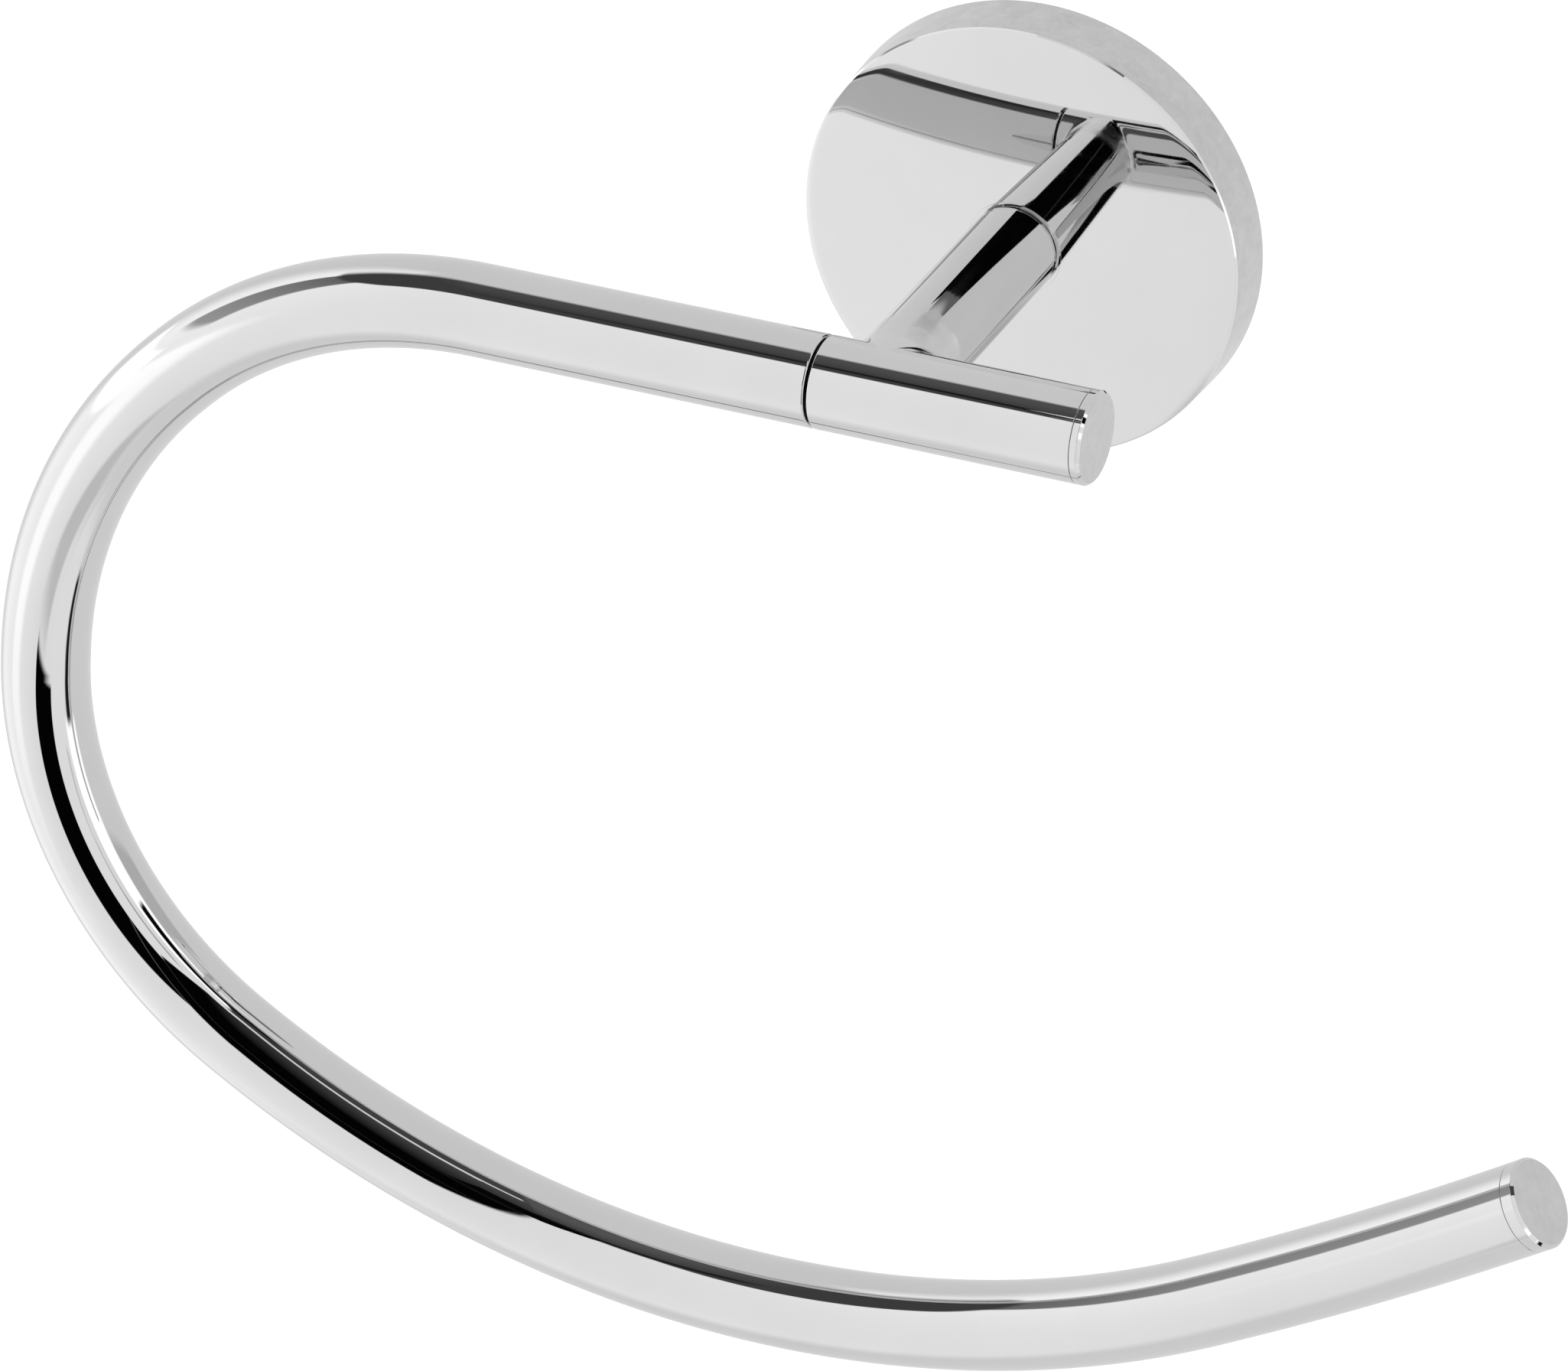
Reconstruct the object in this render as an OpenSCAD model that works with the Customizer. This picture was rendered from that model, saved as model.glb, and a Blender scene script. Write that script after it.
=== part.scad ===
// Open towel ring for a wall: a round domed flange carries a short post with a
// cross bar, and a tube bent into an open loop leaves the left end of the bar.
//
// Frame: the wall is the plane y = 0 and the object stands out towards -Y.
// +X is to the right and +Z is up, seen from the room. The origin is the
// middle of the flange's back edge, on the wall.
// All sizes are in millimetres.

/* [Flange] */
// Diameter of the flange at the edge of its face
flange_d = 60; // [56:1:66]
// How much wider the rim is where it meets the wall
rim_draft = 0.8; // [0.2:0.1:1.2]
// Depth of the flange's rim, from the wall to the edge of its face
rim_depth = 8; // [7.5:0.5:10]
// Height of the shallow dome of the flange's face
dome_h = 1.7; // [1.2:0.1:2.4]
// Wall thickness of the cast flange
flange_wall = 2; // [1.8:0.1:2.2]
// Radius of the rounded edge between face and rim
edge_r = 0.8; // [0.4:0.1:1]

/* [Post and bar] */
// Diameter of the tube, the bar and the post
tube_d = 12; // [11.5:0.5:14]
// Distance from the wall to the centre line of the bar and the loop
reach = 52; // [46:1:70]
// How far the bar runs to the left of the post's centre line
bar_left = 7.5; // [7.5:0.5:12]
// How far the bar runs to the right of the post's centre line, with its cap
bar_right = 29; // [26:1:40]

/* [Loop] */
// Wall thickness of the bent tube
tube_wall = 1.2; // [1:0.1:1.5]
// Straight run of the tube from the bar to the first bend
run_in = 47.5; // [30:0.5:60]
// Centre-line radius of the upper outer bend
bend1_r = 63; // [50:1:80]
// Turn of the upper outer bend, in degrees
bend1_a = 44; // [30:1:50]
// Centre-line radius of the outer side
bend2_r = 75; // [60:1:90]
// Turn of the outer side, in degrees
bend2_a = 41; // [35:1:55]
// Centre-line radius of the lower outer bend
bend3_r = 57; // [45:1:70]
// Turn of the lower outer bend, in degrees
bend3_a = 63; // [50:1:70]
// Centre-line radius of the long lower sweep
bend4_r = 138; // [120:1:160]
// Turn of the long lower sweep, in degrees
bend4_a = 61.5; // [50:0.5:70]
// Centre-line radius of the nearly straight end run
bend5_r = 600; // [400:10:900]
// Turn of the end run, in degrees
bend5_a = 4.7; // [3:0.1:5]
// Straight stretch between two bends
link_l = 1; // [0.5:0.1:2]
// Width of the shadow groove between the bar and the bent tube
groove_w = 0.4; // [0.2:0.1:0.6]

/* [Caps] */
// Visible length of the cap at the tip of the loop
tip_cap_l = 2; // [1.5:0.1:3]
// Visible length of the cap at the right end of the bar
bar_cap_l = 1.3; // [1:0.1:2]
// Bevel at the edge of each cap
cap_bevel = 0.5; // [0.2:0.1:0.7]
// Width of the fine gap behind each cap
cap_gap = 0.15; // [0.1:0.05:0.2]

/* [Fixing] */
// Distance between the two wall screw holes
hole_spacing = 32; // [28:1:34]
// Diameter of the wall screw holes
hole_d = 5; // [4:0.5:5.5]
// Thickness of the bracket's floor
bracket_floor = 2.2; // [2:0.1:2.4]
// Height of the bracket's raised ring
bracket_h = 5.2; // [4.8:0.1:5.4]

/* [Hidden] */
$fn = 96;
eps = 0.01;
tube_r = tube_d / 2;
bore_r = tube_r - tube_wall;
flange_r = flange_d / 2;
// the face is a cap of a large sphere through the edge of the face
dome_r = (flange_r * flange_r + dome_h * dome_h) / (2 * dome_h);
face_z = rim_depth + dome_h;              // top of the dome, from the wall
dome_c = face_z - dome_r;                 // centre of the sphere
seat_z = face_z - 0.1;                    // flat seat of the post on the dome
seat_r = tube_r + 0.5;
pad_z = seat_z - 2.4;                     // flat pad inside, under the seat
cavity_r = flange_r - flange_wall + 0.1;
spigot_r = 5;
spigot_flat = 8;                          // width across the two flats
post_screw_r = 3;
post_bore_l = 20;
washer_t = 1.2;
bracket_r = cavity_r - 0.3;
pocket_r = bracket_r - 3.3;
grub_r = 2;
grub_z = 3.2;                             // height of the grub screw from the wall
notch_y = 25.5;                           // depth of the bracket's notch, from the centre
arm_screw_r = 2.5;
web_l = 10.5;                             // web of the bar that the arm screw pulls on
counter_r = 4.7;                          // bore of the bar's right half
cap_bar_x = bar_right - bar_cap_l;        // shut line of the bar's cap
insert_l = 14;
spigot2_r = 3.5;
spigot2_l = 4.5;
bends = [[bend1_r, bend1_a], [bend2_r, bend2_a], [bend3_r, bend3_a], [bend4_r, bend4_a], [bend5_r, bend5_a]];

// local z becomes the distance from the wall, local y becomes up
module on_wall() { rotate([90, 0, 0]) children(); }
// local z becomes +X along the bar's centre line
module on_bar() { translate([0, -reach, 0]) rotate([0, 90, 0]) children(); }
// local x runs out of the bar to the left, local y is down
module on_loop() { translate([-bar_left, -reach, 0]) rotate([0, 180, 0]) rotate([90, 0, 0]) children(); }

// hexagon socket: af across the flats, depth h, its mouth at z = 0, going down
module socket(af, h) { translate([0, 0, -h]) cylinder(r = af / sqrt(3), h = h + 1, $fn = 6); }

// the plate screwed to the wall: a floor with two holes, a raised ring, a
// notch for the grub screw's point and a clear hole for the post screw's head
module wall_bracket() {
    color("silver") on_wall() difference() {
        union() {
            difference() {
                cylinder(r = bracket_r, h = bracket_h);
                translate([0, 0, bracket_floor]) cylinder(r = pocket_r, h = bracket_h);
            }
            intersection() {
                cylinder(r = bracket_r - 1, h = bracket_h);
                translate([-7, -bracket_r, 0]) cube([14, bracket_r - 21, bracket_h]);
            }
        }
        translate([-5.2, -bracket_r - 1, -1]) cube([10.4, bracket_r + 1 - notch_y, bracket_h + 2]);
        translate([0, -notch_y - eps, grub_z]) rotate([-90, 0, 0]) cylinder(r1 = 1.75, r2 = 0.45, h = 1.3);
        translate([0, 0, -1]) cylinder(r = 7, h = bracket_h + 2);
        for (s = [-1, 1]) translate([s * hole_spacing / 2, 0, -1]) cylinder(r = hole_d / 2, h = bracket_h + 2);
    }
}

// outer form of the flange: drafted rim, rounded edge, domed face
module flange_body() {
    rc = flange_r + 0.05 - edge_r;
    zc = dome_c + sqrt(pow(dome_r - edge_r, 2) - rc * rc);
    k = dome_r / (dome_r - edge_r);
    intersection() {
        rotate_extrude() polygon(concat(
            [[0, 0], [flange_r + rim_draft / 2, 0]],
            [for (i = [0:8]) let (a = 3 + i * 9.9) [rc + edge_r * cos(a), zc + edge_r * sin(a)]],
            [[rc * k, zc + edge_r], [rc * k, face_z + 1], [0, face_z + 1]]));
        translate([0, 0, dome_c]) sphere(r = dome_r, $fn = 360);
    }
}

// hollow cast flange with a flat seat for the post, a keyed hole and a
// threaded boss for the grub screw in the underside of its rim
module flange_cover() {
    color("gainsboro") on_wall() difference() {
        union() {
            difference() {
                flange_body();
                difference() {
                    intersection() {
                        translate([0, 0, -1]) cylinder(r = cavity_r, h = face_z + 1);
                        translate([0, 0, dome_c]) sphere(r = dome_r - flange_wall, $fn = 360);
                    }
                    translate([0, 0, pad_z]) cylinder(r = 8.5, h = 4);
                }
            }
            translate([-4.5, -cavity_r - 0.5, 0.6]) cube([9, cavity_r + 0.5 - notch_y - 0.3, rim_depth - 1.6]);
        }
        // the seat is cut 0.1 deep into the dome
        translate([0, 0, seat_z]) cylinder(r = seat_r, h = 1);
        intersection() {
            translate([0, 0, pad_z - 1]) cylinder(r = spigot_r + 0.1, h = 5);
            translate([-8, -spigot_flat / 2 - 0.1, pad_z - 1]) cube([16, spigot_flat + 0.2, 5]);
        }
        translate([0, -notch_y + 2, grub_z]) rotate([90, 0, 0]) cylinder(r = grub_r, h = 10);
    }
}

// set screw with a cone point, in the underside of the flange
module flange_grub_screw() {
    color("dimgray") on_wall() translate([0, -flange_r + 0.3, grub_z]) rotate([-90, 0, 0])
        difference() {
            union() {
                cylinder(r = grub_r, h = 3.9);
                translate([0, 0, 3.9]) cylinder(r1 = grub_r, r2 = 0.9, h = 1.1);
            }
            rotate([180, 0, 0]) socket(2, 1.8);
        }
}

// post and cross bar, one casting: a keyed spigot with a tapped hole at the
// wall end, a bored bar with an inner web, and a short socket at the left
module post_and_bar() {
    color("whitesmoke") difference() {
        union() {
            on_wall() {
                intersection() {
                    translate([0, 0, pad_z + 0.2]) cylinder(r = spigot_r, h = 4);
                    translate([-8, -spigot_flat / 2, pad_z + 0.2]) cube([16, spigot_flat, 4]);
                }
                translate([0, 0, seat_z]) cylinder(r = tube_r - 0.5, h = 2);
                translate([0, 0, seat_z + 0.3]) cylinder(r1 = tube_r - 0.25, r2 = tube_r, h = 0.25);
                translate([0, 0, seat_z + 0.55]) cylinder(r = tube_r, h = reach - seat_z - 0.55);
            }
            on_bar() translate([0, 0, -bar_left]) cylinder(r = tube_r, h = bar_left + cap_bar_x - cap_gap);
        }
        on_wall() translate([0, 0, 0]) cylinder(r = post_screw_r, h = pad_z + post_bore_l);
        on_bar() {
            translate([0, 0, -bar_left - 1]) cylinder(r = spigot2_r, h = spigot2_l + 1.5);
            translate([0, 0, -bar_left]) cylinder(r = arm_screw_r + 0.25, h = bar_right);
            translate([0, 0, -bar_left + spigot2_l + 0.5 + web_l]) cylinder(r = counter_r, h = 60);
        }
    }
}

// button head screw with a hexagon socket, from inside the flange into the post
module post_screw() {
    color("gray") on_wall() difference() {
        union() {
            translate([0, 0, pad_z - washer_t - 3.2]) cylinder(r1 = 3.6, r2 = 5.2, h = 1.6);
            translate([0, 0, pad_z - washer_t - 1.6]) cylinder(r = 5.2, h = 1.6);
            translate([0, 0, pad_z - washer_t - 0.5]) cylinder(r = post_screw_r, h = 18.5);
        }
        translate([0, 0, pad_z - washer_t - 3.2]) rotate([180, 0, 0]) socket(4, 2);
    }
}

// flat washer under the head of the post screw
module post_washer() {
    color("darkgray") on_wall() translate([0, 0, pad_z - washer_t]) difference() {
        cylinder(r = 6.5, h = washer_t);
        translate([0, 0, -1]) cylinder(r = post_screw_r + 0.2, h = washer_t + 2);
    }
}

// plug cap: head of the tube's diameter with a bevelled edge, and a plug
// the head runs from z = 0 to z = l, and the plug goes down
module plug_cap(l, plug_r, plug_l) {
    cylinder(r = tube_r, h = l - cap_bevel);
    translate([0, 0, l - cap_bevel]) cylinder(r1 = tube_r, r2 = tube_r - cap_bevel, h = cap_bevel);
    translate([0, 0, -plug_l]) cylinder(r = plug_r, h = plug_l);
}

// closes the bore at the right end of the bar
module bar_end_cap() {
    color("gainsboro") on_bar() translate([0, 0, cap_bar_x]) plug_cap(bar_cap_l, counter_r, 5);
}

// cap head screw along the bar's bore: it pulls the bent tube to the bar
module arm_screw() {
    x0 = -bar_left + spigot2_l + 0.5 + web_l + 1;
    color("gray") on_bar() difference() {
        union() {
            translate([0, 0, x0]) cylinder(r = 4.25, h = 5);
            translate([0, 0, x0 - 26]) cylinder(r = arm_screw_r, h = 27);
        }
        translate([0, 0, x0 + 5]) socket(4, 2.5);
    }
}

// split spring washer under the head of the arm screw
module arm_lock_washer() {
    x0 = -bar_left + spigot2_l + 0.5 + web_l;
    color("darkgray") on_bar() translate([0, 0, x0]) difference() {
        cylinder(r = 4.4, h = 1);
        translate([0, 0, -1]) cylinder(r = arm_screw_r + 0.25, h = 3);
        translate([0, -0.4, -1]) cube([6, 0.8, 3]);
    }
}

// turned insert fixed in the start of the bent tube: plug, recessed collar
// that leaves the shadow groove, centring spigot and a tapped hole
module arm_insert() {
    color("goldenrod") on_bar() difference() {
        union() {
            translate([0, 0, -bar_left - groove_w - insert_l]) cylinder(r = bore_r, h = insert_l);
            translate([0, 0, -bar_left - groove_w - 0.5]) cylinder(r = bore_r, h = 0.6);
            translate([0, 0, -bar_left - groove_w]) cylinder(r = tube_r - 0.7, h = groove_w);
            translate([0, 0, -bar_left - 0.2]) cylinder(r = spigot2_r, h = spigot2_l + 0.2);
        }
        translate([0, 0, -bar_left - 30]) cylinder(r = arm_screw_r, h = 40);
    }
}

// turn of the tube before bend i, and the place where bend i starts
function turn(i) = i == 0 ? 0 : turn(i - 1) + bends[i - 1][1];
function start(i) = i == 0 ? [run_in, 0] :
    let (h = turn(i - 1), r = bends[i - 1][0], a = bends[i - 1][1])
    start(i - 1) + r * [sin(h + a) - sin(h), cos(h) - cos(h + a)] + link_l * [cos(h + a), sin(h + a)];
module at_bend(i) { translate([start(i)[0], start(i)[1], 0]) rotate([0, 0, turn(i)]) children(); }

// one bend of the hollow tube: it starts at the origin along +x and turns left
module bend(r, a) {
    translate([0, r, 0]) rotate([0, 0, -90]) rotate_extrude(angle = a, $fn = 180) translate([r, 0])
        difference() { circle(r = tube_r, $fn = 48); circle(r = bore_r, $fn = 48); }
}
// a straight stretch of the hollow tube along +x; more is what its wall is
// thicker by on both sides
module straight(l, more = 0) {
    rotate([0, 90, 0]) difference() {
        cylinder(r = tube_r + more, h = l, $fn = 48);
        translate([0, 0, -1]) cylinder(r = bore_r - more, h = l + 2, $fn = 48);
    }
}

// the bent tube: a straight run and five bends in tangents. Between two bends
// is the short straight stretch where the bending tool takes its next grip; its
// wall is a hundredth thicker and it laps both bends, so the solids join firmly
module arm_tube() {
    color("whitesmoke") on_loop() {
        translate([groove_w, 0, 0]) straight(run_in - groove_w);
        for (i = [0:4]) at_bend(i) bend(bends[i][0], bends[i][1]);
        for (i = [1:4]) at_bend(i) translate([-link_l - 0.3, 0, 0]) straight(link_l + 0.6, 0.01);
    }
}

// closes the free end of the bent tube
module tip_end_cap() {
    color("gainsboro") on_loop() at_bend(5) translate([cap_gap - link_l, 0, 0]) rotate([0, 90, 0]) plug_cap(tip_cap_l, bore_r - 0.04, 6);
}

wall_bracket();
flange_cover();
flange_grub_screw();
post_and_bar();
post_screw();
post_washer();
bar_end_cap();
arm_screw();
arm_lock_washer();
arm_insert();
arm_tube();
tip_end_cap();
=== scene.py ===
import math

import bmesh
import bpy
import numpy as np
from mathutils import Matrix


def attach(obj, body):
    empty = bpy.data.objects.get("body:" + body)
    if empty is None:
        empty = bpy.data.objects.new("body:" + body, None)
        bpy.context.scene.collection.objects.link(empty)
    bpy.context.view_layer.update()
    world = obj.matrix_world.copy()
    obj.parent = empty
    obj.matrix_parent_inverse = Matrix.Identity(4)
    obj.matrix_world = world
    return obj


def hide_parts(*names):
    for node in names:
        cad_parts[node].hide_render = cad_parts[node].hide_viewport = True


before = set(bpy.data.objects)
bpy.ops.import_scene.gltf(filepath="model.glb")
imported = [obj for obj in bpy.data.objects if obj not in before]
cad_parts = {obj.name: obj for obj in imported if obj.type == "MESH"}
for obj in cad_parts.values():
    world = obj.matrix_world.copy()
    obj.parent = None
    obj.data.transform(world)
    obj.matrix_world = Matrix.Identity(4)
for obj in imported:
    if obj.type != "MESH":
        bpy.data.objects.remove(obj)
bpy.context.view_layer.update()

# Sizes are in millimetres down to the mesh, and in metres from there on. The frame is the part's own:
# the wall is y = 0, the holder stands out towards -Y, +X is to the right and +Z is up.
MM = 0.001
TUBE_R = 6.0
BORE_R = 4.8
REACH = 52.0
BAR_LEFT = 7.5
BAR_RIGHT = 29.0
GROOVE = 0.4
FLANGE_R = 30.0
RIM = 8.0
DOME = 1.7
DRAFT = 0.4
EDGE = 0.8
DOME_R = (FLANGE_R ** 2 + DOME ** 2) / (2 * DOME)
FACE_Z = RIM + DOME
DOME_C = FACE_Z - DOME_R
SEAT_Z = FACE_Z - 0.1
PAD_Z = SEAT_Z - 2.4
CAVITY_R = FLANGE_R - 2 + 0.1
BENDS = [(63, 44), (75, 41), (57, 63), (138, 61.5), (600, 4.7)]
RUN_IN = 47.5
LINK = 1.0
CAP_GAP = 0.07
BAR_CAP = 1.3
TIP_CAP = 2.0


# ---------------------------------------------------------------- mesh tools

class Shell:
    """A mesh built from grids of points. Each corner keeps the exact normal of the surface it lies on."""

    def __init__(self):
        self.points, self.normals, self.quads, self.marks, self.count = [], [], [], [], 0

    def grid(self, points, normals, wrap=True, mark=0):
        rows, cols = points.shape[:2]
        idx = np.arange(rows * cols).reshape(rows, cols) + self.count
        if wrap:
            a, b = idx[:-1], idx[1:]
            a2, b2 = np.roll(a, -1, 1), np.roll(b, -1, 1)
        else:
            a, a2, b, b2 = idx[:-1, :-1], idx[:-1, 1:], idx[1:, :-1], idx[1:, 1:]
        quads = np.stack([a, a2, b2, b], -1).reshape(-1, 4)
        self.points.append(points.reshape(-1, 3).astype(float))
        self.normals.append(normals.reshape(-1, 3).astype(float))
        self.quads.append(quads)
        self.marks.append(np.full(len(quads), mark))
        self.count += rows * cols

    def build(self, name):
        p, n = np.concatenate(self.points), np.concatenate(self.normals)
        q, marks = np.concatenate(self.quads), np.concatenate(self.marks)
        n = n / np.maximum(np.linalg.norm(n, axis=1), 1e-12)[:, None]
        # points that fall together become one
        key = np.round(p * 5000 + 0.137).astype(np.int64)
        _, first, inverse = np.unique(key, axis=0, return_index=True, return_inverse=True)
        inverse = inverse.reshape(-1)
        v = p[first]
        f = inverse[q]
        # every face looks the way its corner normals do
        cross = np.cross(v[f[:, 2]] - v[f[:, 0]], v[f[:, 3]] - v[f[:, 1]])
        back = (cross * n[q].sum(1)).sum(1) < 0
        f[back], q[back] = f[back][:, ::-1], q[back][:, ::-1]
        keep = f != np.roll(f, -1, 1)
        size = keep.sum(1)
        good = size >= 3
        f, q, keep, size, marks = f[good], q[good], keep[good], size[good], marks[good]
        loops, corner = f[keep], n[q[keep]]
        starts = np.r_[0, np.cumsum(size)[:-1]]
        mesh = bpy.data.meshes.new(name)
        mesh.vertices.add(len(v))
        mesh.vertices.foreach_set("co", (v * MM).astype(np.float32).ravel())
        mesh.loops.add(len(loops))
        mesh.loops.foreach_set("vertex_index", loops.astype(np.int32))
        mesh.polygons.add(len(size))
        mesh.polygons.foreach_set("loop_start", starts.astype(np.int32))
        mesh.polygons.foreach_set("material_index", marks.astype(np.int32))
        mesh.update(calc_edges=True)
        mesh.validate()
        mesh.polygons.foreach_set("use_smooth", np.ones(len(mesh.polygons), bool))
        if len(mesh.loops) == len(corner):
            mesh.normals_split_custom_set([tuple(c) for c in corner])
        mesh.update()
        return mesh


def unit(a):
    return a / np.maximum(np.linalg.norm(a, axis=-1, keepdims=True), 1e-12)


class Axis:
    """A place and three directions, for turned shapes: r runs along u and v, z runs along w."""

    def __init__(self, origin, u, v, w):
        self.o, self.u, self.v, self.w = (np.array(a, float) for a in (origin, u, v, w))

    def put(self, r, z, c, s):
        return (self.o + r[..., None] * (c[..., None] * self.u + s[..., None] * self.v)
                + z[..., None] * self.w)

    def aim(self, nr, nz, c, s):
        return nr[..., None] * (c[..., None] * self.u + s[..., None] * self.v) + nz[..., None] * self.w


WALL = Axis((0, 0, 0), (1, 0, 0), (0, 0, 1), (0, -1, 0))        # z is the distance from the wall
BAR = Axis((0, -REACH, 0), (0, 1, 0), (0, 0, 1), (1, 0, 0))     # z is +X along the bar


def line(a, b, k=1):
    """Straight stretch of a profile. The solid is on its right, so the normal is on its left."""
    t = np.linspace(0, 1, k + 1)
    p = np.outer(1 - t, a) + np.outer(t, b)
    d = unit(np.subtract(b, a, dtype=float))
    return p, np.tile([-d[1], d[0]], (k + 1, 1))


def arc(c, r, a0, a1, k=6):
    """Round stretch of a profile, in degrees. Turning clockwise it is convex."""
    a = np.radians(np.linspace(a0, a1, k + 1))
    d = np.stack([np.cos(a), np.sin(a)], 1)
    return np.array(c) + r * d, d * (1.0 if a1 < a0 else -1.0)


def poly(corners, k=5, step=None):
    """A profile through corners (r, z, rounding), as straight stretches and tangent arcs."""
    out, cur = [], np.array(corners[0][:2], float)
    for i in range(1, len(corners)):
        p = np.array(corners[i][:2], float)
        f = corners[i][2] if len(corners[i]) > 2 else 0
        if i == len(corners) - 1 or not f:
            if np.linalg.norm(p - cur) > 1e-9:
                out.append(line(cur, p, rows(cur, p, step)))
            cur = p
            continue
        q = np.array(corners[i + 1][:2], float)
        d0, d1 = unit(p - cur), unit(q - p)
        turn = d0[0] * d1[1] - d0[1] * d1[0]
        half = math.acos(max(-1, min(1, float(d0 @ d1)))) / 2
        cut = f * math.tan(half)
        s, e = p - d0 * cut, p + d1 * cut
        side = 1 if turn > 0 else -1
        centre = s + side * f * np.array([-d0[1], d0[0]])
        a0 = math.degrees(math.atan2(*(s - centre)[::-1]))
        sweep = side * 2 * math.degrees(half)
        if np.linalg.norm(s - cur) > 1e-9:
            out.append(line(cur, s, rows(cur, s, step)))
        pts, nor = arc(centre, f, a0, a0 + sweep, k)
        pts[0], pts[-1] = s, e
        out.append((pts, nor))
        cur = e
    return out


def rows(a, b, step):
    return 1 if not step else max(1, int(math.ceil(np.linalg.norm(np.subtract(b, a)) / step)))


def lathe(shell, profile, axis, n, mark=None, phase=0.0):
    """Turns a profile about an axis. mark(r, z) gives a stretch's material number."""
    phi = np.radians(phase) + np.arange(n) * 2 * math.pi / n
    c, s = np.cos(phi)[None, :], np.sin(phi)[None, :]
    for p, nor in profile:
        one = np.ones((len(p), n))
        pts = axis.put(p[:, :1] * one, p[:, 1:] * one, c * one, s * one)
        nrm = axis.aim(nor[:, :1] * one, nor[:, 1:] * one, c * one, s * one)
        m = mark(*p.mean(0)) if mark else 0
        shell.grid(pts, nrm, True, m)


def rings(shell, axis, n, radii, heights, phase=0.0, mark=0):
    """Rings whose radius may change round the axis, for hexagons and flats."""
    phi = np.radians(phase) + np.arange(n + 1) * 2 * math.pi / n
    for i in range(len(radii) - 1):
        r = np.stack([np.broadcast_to(radii[k](phi) if callable(radii[k]) else radii[k], phi.shape)
                      for k in (i, i + 1)]).astype(float)
        z = np.stack([np.full(phi.shape, heights[k], float) for k in (i, i + 1)])
        p = axis.put(r, z, np.cos(phi)[None, :] * np.ones((2, 1)), np.sin(phi)[None, :] * np.ones((2, 1)))
        # one flat facet at a time, so the edges of flats stay crisp
        a, b, c2, d = p[0, :-1], p[0, 1:], p[1, 1:], p[1, :-1]
        nf = unit(np.cross(c2 - a, b - d))
        base = shell.count
        shell.points.append(np.stack([a, b, c2, d], 1).reshape(-1, 3))
        shell.normals.append(np.repeat(nf, 4, 0))
        shell.quads.append(np.arange(4 * n).reshape(n, 4) + base)
        shell.marks.append(np.full(n, mark))
        shell.count += 4 * n


def piece(name, mesh, node, materials):
    o = bpy.data.objects.new(name, mesh)
    bpy.context.scene.collection.objects.link(o)
    for m in materials:
        mesh.materials.append(m)
    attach(o, "root")
    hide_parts(node)
    return o


# ---------------------------------------------------------------- materials

class Nodes:
    """Small helper for node trees."""

    def __init__(self, tree):
        self.tree = tree

    def add(self, kind, **sockets):
        n = self.tree.nodes.new(kind)
        for k, v in sockets.items():
            k = k.replace("_", " ") if k not in n.inputs else k
            if isinstance(v, bpy.types.NodeSocket):
                self.tree.links.new(v, n.inputs[k])
            else:
                n.inputs[k].default_value = v
        return n

    def math(self, op, a, b=None, c=None, clamp=False):
        n = self.tree.nodes.new("ShaderNodeMath")
        n.operation, n.use_clamp = op, clamp
        for i, v in enumerate((a, b, c)):
            if v is None:
                continue
            if isinstance(v, bpy.types.NodeSocket):
                self.tree.links.new(v, n.inputs[i])
            else:
                n.inputs[i].default_value = v
        return n.outputs[0]

    def span(self, value, a, b, to0=0.0, to1=1.0, smooth=True):
        n = self.tree.nodes.new("ShaderNodeMapRange")
        n.interpolation_type = "SMOOTHSTEP" if smooth else "LINEAR"
        n.clamp = True
        for i, v in enumerate((value, a, b, to0, to1)):
            if isinstance(v, bpy.types.NodeSocket):
                self.tree.links.new(v, n.inputs[i])
            else:
                n.inputs[i].default_value = v
        return n.outputs[0]

    def mix(self, factor, a, b):
        n = self.tree.nodes.new("ShaderNodeMix")
        n.data_type = "FLOAT"
        for i, v in ((0, factor), (2, a), (3, b)):
            if isinstance(v, bpy.types.NodeSocket):
                self.tree.links.new(v, n.inputs[i])
            else:
                n.inputs[i].default_value = v
        return n.outputs[0]

    def noise(self, coords, scale, detail=3.0, rough=0.5, distortion=0.0):
        n = self.add("ShaderNodeTexNoise", Vector=coords, Scale=scale, Detail=detail, Roughness=rough, Distortion=distortion)
        return n.outputs["Fac"]

    def ramp(self, value, stops):
        n = self.tree.nodes.new("ShaderNodeValToRGB")
        self.tree.links.new(value, n.inputs[0])
        e = n.color_ramp.elements
        while len(e) < len(stops):
            e.new(0.5)
        for i, (pos, col) in enumerate(stops):
            e[i].position = pos
            e[i].color = (*col, 1.0) if len(col) == 3 else col
        return n.outputs[0]


def material(name, metallic=1.0):
    m = bpy.data.materials.new(name)
    m.use_nodes = True
    t = m.node_tree
    b = t.nodes["Principled BSDF"]
    b.inputs["Metallic"].default_value = metallic
    k = Nodes(t)
    coords = k.add("ShaderNodeTexCoord").outputs["Object"]
    return m, k, b, coords


def stretched(k, coords, scale, turn=(0, 0, 0)):
    n = k.add("ShaderNodeMapping", Vector=coords)
    n.inputs["Scale"].default_value = scale
    n.inputs["Rotation"].default_value = turn
    return n.outputs[0]


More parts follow.
